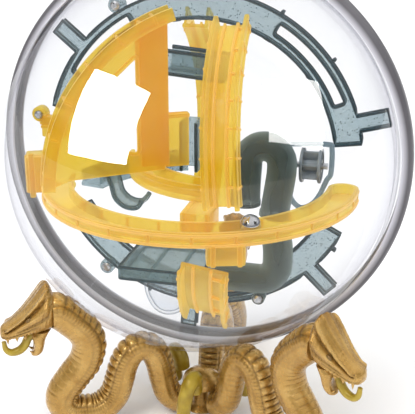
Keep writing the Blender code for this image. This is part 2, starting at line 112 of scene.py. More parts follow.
def rounded(points, radius, steps=3):
    """A closed outline with its corners rounded."""
    found = []
    count = len(points)
    for i in range(count):
        p = Vector(points[i])
        a = Vector(points[i - 1]) - p
        b = Vector(points[(i + 1) % count]) - p
        reach_a = min(radius, 0.45 * a.length)
        reach_b = min(radius, 0.45 * b.length)
        start = p + a.normalized() * reach_a
        end = p + b.normalized() * reach_b
        for k in range(steps + 1):
            t = k / steps
            found.append(tuple((1 - t) ** 2 * start + 2 * t * (1 - t) * p + t * t * end))
    return found


def smooth_path(points, count):
    """Catmull-Rom through the points, read at even distances."""
    knots = [Vector(p) for p in points]
    knots = [2 * knots[0] - knots[1], *knots, 2 * knots[-1] - knots[-2]]
    spans = len(knots) - 3
    dense = []
    for i in range(spans * 24 + 1):
        at = i / 24
        k = min(int(at), spans - 1)
        t = at - k
        a, b, c, d = knots[k:k + 4]
        dense.append(0.5 * (2 * b + (c - a) * t + (2 * a - 5 * b + 4 * c - d) * t ** 2
                            + (3 * b - a - 3 * c + d) * t ** 3))
    dense = np.array(dense)
    run = np.concatenate([[0.0], np.cumsum(np.linalg.norm(np.diff(dense, axis=0), axis=1))])
    wanted = np.linspace(0.0, run[-1], count)
    return np.stack([np.interp(wanted, run, dense[:, i]) for i in range(3)], axis=1)


class Shape:
    """Corners and faces gathered in millimetres, from several closed forms."""

    def __init__(self):
        self.corners = []
        self.faces = []
        self.tone = []

    def add(self, corners, faces, where=None, tone=None):
        base = len(self.corners)
        if where is not None:
            corners = [tuple(where @ Vector(c)) for c in corners]
        self.corners += [tuple(c) for c in corners]
        self.faces += [tuple(base + i for i in f) for f in faces]
        self.tone += list(tone) if tone is not None else [0.0] * len(corners)
        return self

    def tint(self, since, value):
        """Marks the corners added since a count with a tone."""
        self.tone[since:] = [value] * (len(self.tone) - since)
        return self

    def grid(self, rows, where=None, loop=True, caps=True, tone=None):
        """Rows of equally many corners joined into a skin."""
        count = len(rows[0])
        corners = [c for row in rows for c in row]
        faces = []
        for r in range(len(rows) - 1):
            for i in range(count if loop else count - 1):
                j = (i + 1) % count
                a, b = r * count, (r + 1) * count
                faces.append((a + i, a + j, b + j, b + i))
        if caps:
            faces.append(tuple(range(count))[::-1])
            faces.append(tuple((len(rows) - 1) * count + i for i in range(count)))
        return self.add(corners, faces, where, tone)

    def ring(self, section, start, end, steps, where=None):
        """A closed section (distance from the axis, height) swept about Z."""
        rows = []
        for i in range(steps + 1):
            angle = math.radians(start + (end - start) * i / steps)
            rows.append([(r * math.cos(angle), r * math.sin(angle), z) for r, z in section])
        return self.grid(rows, where)

    def spun(self, profile, where=None, steps=48, caps=True):
        """A profile (radius, height) turned a full circle; caps close an open one."""
        rows = []
        for r, z in profile:
            rows.append([(max(r, 0.001) * math.cos(2 * math.pi * i / steps),
                          max(r, 0.001) * math.sin(2 * math.pi * i / steps), z)
                         for i in range(steps)])
        return self.grid(rows, where, caps=caps)

    def eyelet(self, bore, radius, half, cut, drop, at, steps=28):
        """A ring with chamfered edges that a screw goes through, its axis along Y."""
        return self.ring([(bore, -half), (radius - cut, -half), (radius, drop - half),
                          (radius, half - drop), (radius - cut, half), (bore, half)], 0, 360,
                         steps, basis((1, 0, 0), (0, -1, 0), at))

    def box(self, size, where=None, radius=0.6):
        made = bmesh.new()
        bmesh.ops.create_cube(made, size=1.0)
        bmesh.ops.scale(made, vec=size, verts=made.verts)
        if radius:
            bmesh.ops.bevel(made, geom=made.edges, offset=radius, segments=2, profile=0.5,
                            affect="EDGES")
        made.verts.index_update()
        self.add([tuple(v.co) for v in made.verts],
                 [tuple(v.index for v in f.verts) for f in made.faces], where)
        made.free()
        return self

    def tube(self, path, radius, sides=20, where=None, bore=None, closed=False):
        """A round bar along a path; with a bore it is a pipe with open ends."""
        path = np.array(path, float)
        radii = np.full(len(path), radius) if np.isscalar(radius) else np.array(radius)
        step = np.gradient(path, axis=0)
        if closed:
            step = np.roll(path, -1, axis=0) - np.roll(path, 1, axis=0)
        step /= np.linalg.norm(step, axis=1)[:, None]
        side = np.cross(step[0], (0.0, 0.0, 1.0))
        if np.linalg.norm(side) < 0.1:
            side = np.cross(step[0], (0.0, 1.0, 0.0))
        rows, bores = [], []
        for p, t, r in zip(path, step, radii):
            side = side - t * side.dot(t)
            side /= np.linalg.norm(side)
            up = np.cross(t, side)
            turns = 2 * np.pi * np.arange(sides) / sides
            unit = np.outer(np.cos(turns), side) + np.outer(np.sin(turns), up)
            rows.append([tuple(c) for c in p + unit * r])
            if bore:
                bores.append([tuple(c) for c in p + unit * bore])
        if bore:
            return self.grid([*rows, *bores[::-1], rows[0]], where, caps=False)
        if closed:
            return self.grid([*rows, rows[0]], where, caps=False)
        return self.grid(rows, where)

    def plate(self, loops, thickness, where=None, edge=0.5):
        """A flat outline in local XY with holes, its edges rounded."""
        curve = bpy.data.curves.new("plate", "CURVE")
        curve.dimensions = "2D"
        curve.fill_mode = "BOTH"
        curve.extrude = thickness / 2 - edge
        curve.bevel_depth = edge
        curve.bevel_resolution = 2
        curve.offset = -edge
        for loop in loops:
            spline = curve.splines.new("POLY")
            spline.points.add(len(loop) - 1)
            for point, (x, y) in zip(spline.points, loop):
                point.co = (x, y, 0.0, 1.0)
            spline.use_cyclic_u = True
        made = bpy.data.objects.new("plate", curve)
        bpy.context.scene.collection.objects.link(made)
        bpy.context.view_layer.update()
        mesh = bpy.data.meshes.new_from_object(
            made.evaluated_get(bpy.context.evaluated_depsgraph_get()))
        self.add([tuple(v.co) for v in mesh.vertices],
                 [tuple(p.vertices) for p in mesh.polygons], where)
        bpy.data.objects.remove(made, do_unlink=True)
        return self

    def finish(self, name, look, node_name, body="maze_ball", where=BALL, sharp=38.0):
        """The gathered shape as an object that rides on a body, in place of a CAD node."""
        mesh = bpy.data.meshes.new(name)
        scale = where @ Matrix.Scale(MM, 4)
        mesh.from_pydata([tuple(scale @ Vector(c)) for c in self.corners], [], self.faces)
        made = bmesh.new()
        made.from_mesh(mesh)
        layer = made.verts.layers.float.new("tone")
        for v, t in zip(made.verts, self.tone):
            v[layer] = t
        bmesh.ops.remove_doubles(made, verts=made.verts, dist=0.000002)
        bmesh.ops.recalc_face_normals(made, faces=made.faces)
        made.to_mesh(mesh)
        made.free()
        mesh.shade_smooth()
        mesh.set_sharp_from_angle(angle=math.radians(sharp))
        mesh.materials.append(look)
        piece = bpy.data.objects.new(name, mesh)
        bpy.context.scene.collection.objects.link(piece)
        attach(piece, body)
        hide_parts(node_name)


# ---- materials

def graph(name):
    made = bpy.data.materials.new(name)
    made.use_nodes = True
    made.node_tree.nodes.clear()
    return made, made.node_tree


def node(tree, kind, feeds=None, **settings):
    """A shader node. feeds gives its inputs a value, or another node's socket."""
    made = tree.nodes.new(kind)
    for key, value in settings.items():
        setattr(made, key, value)
    for key, value in (feeds or {}).items():
        if isinstance(value, bpy.types.NodeSocket):
            tree.links.new(value, made.inputs[key])
        else:
            made.inputs[key].default_value = value
    return made


def sums(tree, operation, *values, clamp=False):
    return node(tree, "ShaderNodeMath", dict(enumerate(values)), operation=operation,
                use_clamp=clamp).outputs[0]


def spread(tree, value, low, high, start=0.0, end=1.0):
    """The value, read between start and end, as a number between low and high."""
    return node(tree, "ShaderNodeMapRange",
                {"Value": value, "From Min": start, "From Max": end, "To Min": low,
                 "To Max": high}).outputs[0]


def blend(tree, share, first, second):
    """A mix of two colours; the second can be a plain one."""
    if isinstance(second, tuple):
        second = (*second, 1.0)
    return node(tree, "ShaderNodeMix", {"Factor": share, "A": first, "B": second},
                data_type="RGBA").outputs["Result"]


def either(tree, share, first, second):
    """A mix of two shaders."""
    return node(tree, "ShaderNodeMixShader", {"Fac": share, 1: first, 2: second}).outputs[0]


def clear_film(tree, colour):
    if isinstance(colour, tuple):
        colour = (*colour, 1.0)
    return node(tree, "ShaderNodeBsdfTransparent", {"Color": colour}).outputs[0]


def ramp(tree, source, stops):
    made = node(tree, "ShaderNodeValToRGB", {"Fac": source})
    points = made.color_ramp.elements
    while len(points) < len(stops):
        points.new(0.5)
    for point, (at, colour) in zip(points, stops):
        point.position = at
        point.color = (*colour, 1.0)
    return made.outputs["Color"]


def marks(tree):
    """The tone that the shape was given, corner by corner."""
    return node(tree, "ShaderNodeAttribute", attribute_name="tone").outputs["Fac"]


def place_on(tree):
    return node(tree, "ShaderNodeTexCoord").outputs["Object"]


def specks(tree, size, share, reach):
    """1 at scattered specks and 0 elsewhere; size is the cell in mm."""
    cells = node(tree, "ShaderNodeTexVoronoi", {"Vector": place_on(tree),
                                                "Scale": 1.0 / (size * MM)})
    pick = node(tree, "ShaderNodeSeparateColor", {"Color": cells.outputs["Color"]})
    near = sums(tree, "LESS_THAN", cells.outputs["Distance"], reach)
    chosen = sums(tree, "LESS_THAN", pick.outputs["Red"], share)
    return sums(tree, "MULTIPLY", near, chosen)


def bump(tree, height, strength, distance, normal=None):
    feeds = {"Height": height, "Strength": strength, "Distance": distance * MM}
    if normal is not None:
        feeds["Normal"] = normal
    return node(tree, "ShaderNodeBump", feeds).outputs["Normal"]


def noise(tree, size, detail=3.0, stretch=None):
    where = place_on(tree)
    if stretch:
        where = node(tree, "ShaderNodeMapping", {"Vector": where, "Scale": stretch}).outputs[0]
    return node(tree, "ShaderNodeTexNoise", {"Vector": where, "Scale": 1.0 / (size * MM),
                                             "Detail": detail}).outputs["Fac"]


def clear_look(name, face, edge, mirror=(0.05, 0.55), film=0.02):
    """Clear plastic: a thin tinted film that mirrors more, and is denser, at grazing view.
    Only its outward faces mirror, so that each wall does so once."""
    made, tree = graph(name)
    facing = node(tree, "ShaderNodeLayerWeight", {"Blend": 0.5}).outputs["Facing"]
    tint = ramp(tree, facing, [(0.0, face), (0.6, face), (0.97, edge)])
    wave = bump(tree, noise(tree, 45.0, 1.0), 0.25, 0.6)
    gloss = node(tree, "ShaderNodeBsdfGlossy", {"Roughness": film, "Normal": wave})
    share = spread(tree, sums(tree, "POWER", facing, 3.6), *mirror)
    inward = node(tree, "ShaderNodeNewGeometry").outputs["Backfacing"]
    outward = sums(tree, "SUBTRACT", 1.0, inward)
    node(tree, "ShaderNodeOutputMaterial",
         {"Surface": either(tree, sums(tree, "MULTIPLY", share, outward), clear_film(tree, tint),
                            gloss.outputs[0])})
    return made


def tinted_look(name, deep, light, rim, film, seen, lamp, rough, speck=None, sparkle=None):
    """Translucent coloured plastic. deep and light are its colours face-on and at grazing
    view, rim its colour where the shape says so, film what it passes where it is seen through,
    seen the share that is opaque face-on and at grazing view, and lamp what shadow rays pass."""
    made, tree = graph(name)
    facing = node(tree, "ShaderNodeLayerWeight", {"Blend": 0.5}).outputs["Facing"]
    cloudy = sums(tree, "MULTIPLY_ADD", noise(tree, 16.0, 2.0), 0.45, facing)
    colour = ramp(tree, cloudy, [(0.2, deep), (1.0, light)])
    colour = blend(tree, marks(tree), colour, rim)
    opaque = sums(tree, "MULTIPLY_ADD", marks(tree), 0.55, spread(tree, facing, *seen), clamp=True)
    if speck:
        pattern, dark = speck
        dots = specks(tree, *pattern)
        colour = blend(tree, dots, colour, dark)
        opaque = sums(tree, "MAXIMUM", opaque, dots)
    wave = bump(tree, noise(tree, 5.0, 3.0), 0.5, 0.4)
    if sparkle:
        wave = bump(tree, specks(tree, *sparkle), 0.8, 0.4, wave)
    body = node(tree, "ShaderNodeBsdfPrincipled",
                {"Base Color": colour, "Roughness": rough, "IOR": 1.5, "Normal": wave,
                 "Specular IOR Level": 0.35, "Coat Weight": 0.2, "Coat Roughness": 0.06})
    glow = node(tree, "ShaderNodeBsdfTranslucent", {"Color": colour})
    inner = either(tree, 0.45, body.outputs[0], glow.outputs[0])
    skin = either(tree, opaque, clear_film(tree, film), inner)
    shadow = node(tree, "ShaderNodeLightPath").outputs["Is Shadow Ray"]
    node(tree, "ShaderNodeOutputMaterial",
         {"Surface": either(tree, shadow, skin, clear_film(tree, lamp))})
    return made


def solid_look(name, stops, rough, metallic=0.0, size=12.0, height=0.25, grain=1.2, tone=(),
               coat=0.0, stretch=None, shine=0.5):
    """Opaque plastic or metal: colour from slow cloudy noise, a fine grain in the relief, and
    other colours where the shape's tone, times each entry's factor, is above nought."""
    made, tree = graph(name)
    colour = ramp(tree, noise(tree, size, 4.0, stretch), stops)
    for factor, colour_to in tone:
        share = sums(tree, "MULTIPLY", marks(tree), factor, clamp=True)
        colour = blend(tree, share, colour, colour_to)
    vary = spread(tree, noise(tree, size / 3, 2.0), rough * 0.8, rough * 1.25)
    body = node(tree, "ShaderNodeBsdfPrincipled",
                {"Base Color": colour, "Roughness": vary, "Metallic": metallic,
                 "Specular IOR Level": shine, "Coat Weight": coat, "Coat Roughness": 0.15,
                 "Normal": bump(tree, noise(tree, grain, 2.0), height, 0.15)})
    node(tree, "ShaderNodeOutputMaterial", {"Surface": body.outputs[0]})
    return made


CLEAR = clear_look("clear_dome", (0.968, 0.971, 0.976), (0.90, 0.90, 0.925))
BOWL = clear_look("clear_bowl", (0.95, 0.96, 0.975), (0.45, 0.53, 0.60))
AMBER = tinted_look("amber", (0.72, 0.475, 0.001), (0.94, 0.78, 0.27), (0.97, 0.79, 0.30),
                    (0.985, 0.915, 0.34), (0.40, 0.80), (0.97, 0.88, 0.62), 0.12,
                    sparkle=(3.0, 0.35, 0.12))
SMOKE = tinted_look("smoke_blue", (0.19, 0.29, 0.32), (0.30, 0.41, 0.44), (0.010, 0.045, 0.06),
                    (0.77, 0.84, 0.86), (0.24, 0.70), (0.80, 0.86, 0.89), 0.14,
                    speck=((1.1, 0.25, 0.26), (0.012, 0.03, 0.035)))
HOOP = tinted_look("smoke_hoop", (0.13, 0.20, 0.24), (0.34, 0.45, 0.50), (0.012, 0.045, 0.06),
                   (0.74, 0.80, 0.82), (0.60, 0.9), (0.80, 0.86, 0.89), 0.12)
PIPE = tinted_look("smoke_pipe", (0.08, 0.112, 0.10), (0.30, 0.38, 0.38), (0.02, 0.035, 0.04),
                   (0.55, 0.60, 0.55), (0.55, 0.92), (0.5, 0.58, 0.6), 0.10,
                   sparkle=(2.0, 0.4, 0.25))
# Tone 1 paints the band's channel pale grey: painted light for how it looks lit through the clear
# dome.
BAND = solid_look("band_grey", [(0.3, (0.085, 0.08, 0.088)), (0.7, (0.135, 0.13, 0.14))], 0.36,
                  0.1, 40.0, 0.4, 0.5, tone=[(1.0, (0.62, 0.62, 0.68))],
                  stretch=(1.0, 1.0, 0.3), shine=0.22)
# The shape's tone paints the gold darker in grooves, creases, furrows and hollows, which is
# painted shade, and lighter on scute tops, the brow, the cheekbone and the scales, which is
# painted highlight.
GOLD = solid_look("serpent_gold", [(0.25, (0.34, 0.18, 0.032)), (0.5, (0.47, 0.275, 0.066)),
                                   (0.8, (0.60, 0.385, 0.12))], 0.27, 0.55, 9.0, 0.3, 0.7,
                  tone=[(1.0, (0.07, 0.03, 0.004)), (-1.0, (0.84, 0.58, 0.22))], coat=0.3)
OLIVE = solid_look("tongue_olive", [(0.3, (0.30, 0.20, 0.012)), (0.7, (0.48, 0.35, 0.03))], 0.34,
                   0.2, 5.0, 0.4, 0.6, tone=[(1.0, (0.20, 0.13, 0.008))], coat=0.2)
STEEL = solid_look("screw_steel", [(0.3, (0.42, 0.43, 0.45)), (0.7, (0.62, 0.63, 0.65))], 0.28,
                   1.0, 3.0, 0.2, 0.4)
CHROME = solid_look("ball_chrome", [(0.3, (0.50, 0.50, 0.51)), (0.7, (0.56, 0.56, 0.57))], 0.05,
                    1.0, 6.0, 0.02, 1.0)
SPINNER = solid_look("spinner_grey", [(0.3, (0.16, 0.19, 0.21)), (0.7, (0.24, 0.28, 0.31))],
                     0.35, 0.1, 6.0, 0.2, 0.6)


# ---- shell

def dome(name, side):
    inner = BALL_R - WALL
    lip = 2.15
    lift = math.degrees(math.asin(lip / BALL_R))
    outside = [(0.0, BALL_R)] + [polar(BALL_R, a) for a in np.linspace(88.5, lift, 56)]
    flange = [(FLANGE_R - 0.3, lip), (FLANGE_R, lip - 0.3), (FLANGE_R, 0.45),
              (FLANGE_R - 0.3, 0.15), (inner, 0.15)]
    inside = [polar(inner, a) for a in np.linspace(1.5, 88.5, 52)] + [(0.0, inner)]
    shape = Shape().spun(outside + flange + inside, basis((1, 0, 0), (0, side, 0)), 144)
    shape.finish(name + "_clear", CLEAR, name, sharp=50.0)


def band_half(name, start):
    """The band's half: a crowned outer face over a channel that clasps the flanges."""
    out = [(BAND_R + 0.8 - 2.3 * (t / BAND_HALF) ** 4, t)
           for t in np.linspace(-BAND_HALF + 0.2, BAND_HALF - 0.2, 17)]
    lower = [(101.0, BAND_HALF + 0.1), (100.8, BAND_HALF - 1.4), (103.4, BAND_HALF - 1.6),
             (103.9, BAND_HALF - 2.4)]
    section = out + lower + [(r, -t) for r, t in reversed(lower)]
    gap = math.degrees(0.12 / BAND_R) / 2
    shape = Shape().ring(section, start + gap, start + 180.0 - gap, 96,
                         basis((1, 0, 0), (0, -1, 0)))
    # Painted light: the channel's faces, inside the crowned outer face, are painted pale grey for
    # how they look lit through the clear dome.
    shape.tone = [1.0 if math.hypot(c[0], c[2]) < BAND_R - 2.9 else 0.0 for c in shape.corners]
    shape.finish(name + "_hoop", BAND, name)


def cross_head(at, axis, radius):
    """A small domed screw head with a cross recess."""
    side = Vector(axis).orthogonal()
    where = basis(side, axis, at)
    shape = Shape().spun([(0.0, 1.2), (radius * 0.5, 1.15), (radius * 0.85, 0.8),
                          (radius, 0.3), (radius, 0.0), (1.4, -0.1), (1.4, -3.0), (0.0, -3.0)],
                         where, 28)
    for turn in (0.0, 90.0):
        shape.box((radius * 1.1, 0.5, 0.2),
                  where @ turned(turn + 20)
                  @ move(0, 0, 1.22), 0.0)
    return shape


# ---- ring frame

def frame_arc(name, start, end, struts, slots, boss, nubs):
    outer = []
    angle = start
    for stop in [*sorted(struts), end]:
        half = math.degrees(math.asin(STRUT_HALF / FRAME_OUTER)) if stop != end else 0.0
        outer += arc(FRAME_OUTER, angle, stop - half, max(3, int((stop - angle) / 2.5)))
        if stop != end:
            far = math.degrees(math.asin(STRUT_HALF / STRUT_R))
            outer += [polar(STRUT_R, stop - far), polar(STRUT_R, stop + far)]
        angle = stop + half
    outline = outer + arc(FRAME_INNER, end, start, int((end - start) / 2.5))
    loops = [outline]
    for a, b in slots:
        loops.append(rounded([*arc(SLOT_R + SLOT_HALF, a, b, 14),
                              *arc(SLOT_R - SLOT_HALF, b, a, 14)], 2.0, 4))
    shape = Shape().plate(loops, 4.6, UPRIGHT, 0.6)
    plain = len(shape.corners)
    for loop in loops:  # a raised rim round every edge
        for y in (-1.9, 1.9):
            shape.tube([(x * 0.997, y, z * 0.997) for x, z in loop], 0.75, 8, closed=True)
    shape.tint(plain, 1.0)
    for angle in nubs:
        at = UPRIGHT @ turned(angle)
        shape.box((2.4, 1.8, 3.6), at @ move(FRAME_OUTER + 1.2, 0, 0), 0.5)
        shape.box((1.6, 4.4, 3.0), at @ move(FRAME_INNER - 0.6, 0, 0), 0.5)
    shape.tint(plain, 1.0)
    x, z = polar(*boss)
    shape.eyelet(1.7, 3.9, 3.2, 0.3, 0.3, (x, 0, z))
    shape.finish(name + "_ring", SMOKE, name)


# ---- tracks

def channel_section(inner, outer, low, high, lip=2.2, slope=0.4):
    """U section with a lip and a foot that stand out from its walls, (distance, height)."""
    wall, dent = 2.0, 0.6
    upper, lower = high - lip, low + wall
    points = [(inner, high), (inner, upper), (inner + dent, upper - slope),
              (inner + dent, lower + slope), (inner, lower), (inner, low), (outer, low),
              (outer, lower), (outer - dent, lower + slope), (outer - dent, upper - slope),
              (outer, upper), (outer, high), (outer - wall, high), (outer - wall, lower),
              (inner + wall, lower), (inner + wall, high)]
    return rounded(points, 0.45, 2)


def open_section(inner, outer, near, far):
    """The same channel, open outwards."""
    return [(r, y) for y, r in channel_section(near, far, inner, outer, 2.0, 0.3)]


def crescent():
    shape = Shape()
    centre = move(*TRACK_CENTRE, 0.0)
    shape.ring(channel_section(TRACK_INNER, TRACK_OUTER, TRACK_LOW, TRACK_TOP), 190.0,
               CUP_START, 88, centre)
    plain = len(shape.corners)
    for z in (TRACK_LOW + 1.0, TRACK_TOP - 1.2):
        rail = rounded(oblong(TRACK_OUTER - 0.6, TRACK_OUTER + 0.45, z - 0.7, z + 0.7), 0.3, 2)
        shape.ring(rail, 190.0, CUP_START, 88, centre)
    shape.tint(plain, 0.45)
    mid, half = (TRACK_INNER + TRACK_OUTER) / 2, (TRACK_OUTER - TRACK_INNER) / 2
    cup = centre @ turned(CUP_START) @ move(mid, 0, 0)
    wall = [(half - 2.0, TRACK_LOW + 0.4), (half - 2.0, TRACK_TOP), (half, TRACK_TOP),
            (half, TRACK_LOW)]
    shape.ring(rounded(wall, 0.45, 2), 0.0, 180.0, 24, cup)
    floor = [(0.01, TRACK_LOW), (0.01, TRACK_LOW + 2.0), (half - 1.0, TRACK_LOW + 2.0),
             (half - 1.0, TRACK_LOW)]
    shape.ring(floor, 0.0, 180.0, 24, cup)
    for i in range(12):
        turn = centre @ turned(198.0 + 14.0 * i)
        shape.box((0.9, 1.4, 4.4), turn @ move(TRACK_OUTER - 0.4, 0, -12.5), 0.25)
        shape.box((0.9, 1.2, 4.4), turn @ move(TRACK_INNER + 0.4, 0, -12.5), 0.25)
    corner = move(-77.5, -30.0, -6.5) @ turned(22)
    shape.box((10.0, 13.0, 19.0), corner, 1.2)
    shape.box((10.8, 2.2, 19.6), corner @ move(0, -3.0, 0), 0.6)
    shape.box((3.0, 3.0, 23.0), corner @ move(-2.0, -6.0, 0), 0.8)
    front = move(32.0, -79.0, -19.7) @ turned(18)
    shape.box((17.0, 9.0, 9.0), front, 0.8)
    shape.box((2.2, 9.8, 9.8), front @ move(-5.6, 0, 0), 0.5)
    shape.box((2.2, 9.8, 9.8), front @ move(6.0, 0, 0), 0.5)
    shape.box((14.0, 17.0, 9.0), move(16.0, -62.5, -10.5), 0.8)
    shape.box((2.0, 17.8, 9.8), move(11.0, -62.5, -10.5), 0.5)
    shape.box((2.0, 17.8, 9.8), move(21.5, -62.5, -10.5), 0.5)
    shape.finish("crescent", AMBER, "crescent_track")


def sail():
    turn = turned(SAIL_TURN)
    wall = turn @ move(0.0, SAIL_Y, 0.0) @ UPRIGHT
    outline = [*arc(SAIL_R + 1, 179.5, 107.5, 36), (-25.0, 74.0), (-27.0, 6.0), (-70.0, 4.0)]
    window = rounded([(-39.0, 60.0), (-50.0, 50.0), (-60.0, 36.0), (-65.0, 20.0),
                      (-39.0, 14.0)], 3.0, 4)
    shape = Shape().plate([outline, window], 3.0, wall, 0.5)
    shape.tube([(x, y, 1.3) for x, y in window], 1.0, 8, wall, closed=True)
    start = 106.5
    rim = turn @ basis((1, 0, 0), (0, -1, 0))
    middle = -SAIL_Y
    section = rounded([(SAIL_R + 4.8, middle - 6), (SAIL_R - 1, middle - 6),
                       (SAIL_R - 1, middle + 6), (SAIL_R + 4.8, middle + 6),
                       (SAIL_R + 4.8, middle + 4.2), (SAIL_R + 1, middle + 4.2),
                       (SAIL_R + 1, middle - 4.2), (SAIL_R + 4.8, middle - 4.2)], 0.5, 2)
    shape.ring(section, start, start + 73.0, 44, rim)
    for i in range(6):
        at = rim @ turned(start + 6 + 12.5 * i)
        shape.box((3.8, 1.3, 12.4), at @ move(SAIL_R + 2.4, 0, middle), 0.4)
    post = turn @ move(-31.5, SAIL_Y + 4.0, 41.0)
    for y in (-4.6, 4.4):
        shape.box((13.0, 2.0, 66.0), post @ move(0, y, 0), 0.5)
    for x in (-5.4, 5.4):
        shape.box((2.0, 10.6, 66.0), post @ move(x, 0, 0), 0.5)
    step = turn @ move(-22.5, SAIL_Y + 1.0, 19.5)
    shape.box((14.0, 4.0, 25.0), step, 0.6)
    shape.box((14.6, 4.8, 1.8), step @ move(0, 0, 11.6), 0.4)
    shape.finish("sail", AMBER, "sail_panel")


def upright_track(name, node_name, middle, half, inner, outer, start, end, side=-1, lean=0.0,
                  ribs=5):
    angle = math.radians(start)
    upright = basis((0, side * math.cos(angle), math.sin(angle)), (side, 0, 0))
    where = turned(lean, "Y") @ upright
    near = side * middle - half
    far = side * middle + half
    shape = Shape().ring(open_section(inner, outer, near, far), 0.0, end - start, 48, where)
    middle = (near + far) / 2
    plain = len(shape.corners)
    for rail, width in ((-0.3, 0.7), (0.45, 0.6)):
        at = middle + rail * half
        section = rounded(oblong(inner + 1.0, inner + 3.4, at - width, at + width), 0.3, 2)
        shape.ring(section, 0.0, end - start, 48, where)
    for i in range(ribs):
        at = where @ turned((end - start) * (i + 0.7) / ribs)
        shape.box((2.2, 0.9, 0.66 * half),
                  at @ move(inner + 2.2, 0, middle - 0.62 * half), 0.25)
        for wall in (near, far):
            shape.box((outer - inner, 1.0, 0.7),
                      at @ move((inner + outer) / 2, 0, wall), 0.2)
    shape.tint(plain, 0.35)
    shape.finish(name, AMBER, node_name)


def level_track(name, node_name, look, centre, inner, outer, low, high, start, end):
    shape = Shape().ring(channel_section(inner, outer, low, high), start, end, 40,
                         move(*centre, 0.0))
    shape.finish(name, look, node_name)


def bracket():
    shape = Shape().box((13.0, 6.0, 11.0), move(-79.0, -1.0, 9.5), 0.8)
    shape.box((13.6, 6.8, 1.6), move(-79.0, -1.0, 9.5), 0.5)
    shape.eyelet(1.8, 4.0, 2.8, 0.3, 0.4, (-86.5, -1.0, 16.0))
    shape.box((6.0, 4.0, 5.0), move(-84.0, -1.0, 12.5), 0.8)
    shape.finish("bracket", AMBER, "side_bracket")


# ---- smoke-blue pieces

def trough():
    tilt = turned(5.0, "Y")
    middle = move(2.0, -12.0, 48.5) @ tilt
    shape = Shape().box((30.0, 13.0, 2.6), middle @ move(0, 0, -4.7), 0.5)
    for y in (-5.75, 5.75):
        shape.box((30.0, 1.5, 12.0), middle @ move(0, y, 0), 0.4)
        plain = len(shape.corners)
        shape.tube([tuple(middle @ Vector((x, y, 5.6))) for x in (-15, 0, 15)], 1.0, 10)
        shape.tube([tuple(middle @ Vector((x, y, -5.4))) for x in (-15, 0, 15)], 0.9, 10)
        shape.tint(plain, 1.0)
    shape.finish("bridge", SMOKE, "upper_bridge")


def centre_channel():
    middle = move(0.0, -18.0, 10.0)
    shape = Shape().box((9.0, 2.0, 25.0), middle @ move(0, 5.0, 0), 0.4)
    for x in (-3.75, 3.75):
        shape.box((1.5, 12.0, 25.0), middle @ move(x, 0, 0), 0.4)
        plain = len(shape.corners)
        shape.tube([tuple(middle @ Vector((x, -5.4, z))) for z in (-12, 0, 12)], 0.9, 10)
        shape.tint(plain, 1.0)
    shape.finish("centre_channel", SMOKE, "centre_chute")


def wave():
    bends = [(-46.0, -2.0), (-41.0, -4.0), (-38.0, -10.0), (-36.0, -17.0), (-31.0, -21.0),
             (-25.0, -21.0), (-22.0, -17.0)]
    line = smooth_path([(x, -24.0, z) for x, z in bends], 40)
    rows = []
    for p, q in zip(line, np.gradient(line, axis=0)):
        q = q / np.linalg.norm(q)
        n = np.array((-q[2], 0.0, q[0])) * 0.95
        rows.append([tuple(p + n + (0, -6.5, 0)), tuple(p + n + (0, 6.5, 0)),
                     tuple(p - n + (0, 6.5, 0)), tuple(p - n + (0, -6.5, 0))])
    shape = Shape().grid(rows)
    plain = len(shape.corners)
    for y in (-30.0, -18.0):
        shape.tube([(p[0], y, p[2]) for p in line], 1.25, 10)
    shape.tint(plain, 0.7)
    shape.finish("wave", SMOKE, "wave_strip")


def tray():
    middle = move(-8.0, -27.5, -48.5)
    shape = Shape().box((42.0, 43.0, 1.8), middle @ move(0, 0, -2.3), 0.4)
    for x in (-20.1, 20.1):
        shape.box((1.8, 43.0, 6.5), middle @ move(x, 0, 0), 0.4)
    for y in (-20.6, 20.6):
        shape.box((42.0, 1.8, 6.5), middle @ move(0, y, 0), 0.4)
    for x in (-7.0, 6.5):
        shape.box((1.2, 40.0, 3.0), middle @ move(x, 0, -1.0), 0.3)
    rim = rounded(oblong(-20.6, 20.6, -21.1, 21.1), 1.5, 3)
    plain = len(shape.corners)
    for z in (-2.9, 2.9):
        shape.tube([tuple(middle @ Vector((x, y, z))) for x, y in rim], 0.8, 8, closed=True)
    shape.tint(plain, 1.0)
    shape.finish("tray", SMOKE, "lower_tray")


def bowl():
    outside = [(12.5, -0.4), (12.5, -8.0), (11.6, -13.0), (9.5, -18.0), (7.0, -21.2),
               (4.0, -23.0), (0.0, -23.8)]
    inside = [(0.0, -22.2), (3.6, -21.4), (6.2, -19.8), (8.2, -17.0), (10.2, -12.4),
              (10.9, -7.8), (10.9, -0.2)]
    curve_out = smooth_path([(r, 0, z) for r, z in outside], 26)
    curve_in = smooth_path([(r, 0, z) for r, z in inside], 26)
    profile = [(p[0], p[2]) for p in curve_out] + [(p[0], p[2]) for p in curve_in]
    profile += [(11.2, 0.0), (12.2, 0.0), profile[0]]
    place = move(-8.5, -31.0, -52.1)
    shape = Shape().spun(profile, place, caps=False)
    shape.finish("bowl", BOWL, "catch_bowl", sharp=60.0)


def pipe_path(y, before, bend, after, count):
    """Straight legs with a round bend between them, in a plane on the ball's Y."""
    return smooth_path([(x, y, z) for x, z in [*before, *bend, *after]], count)


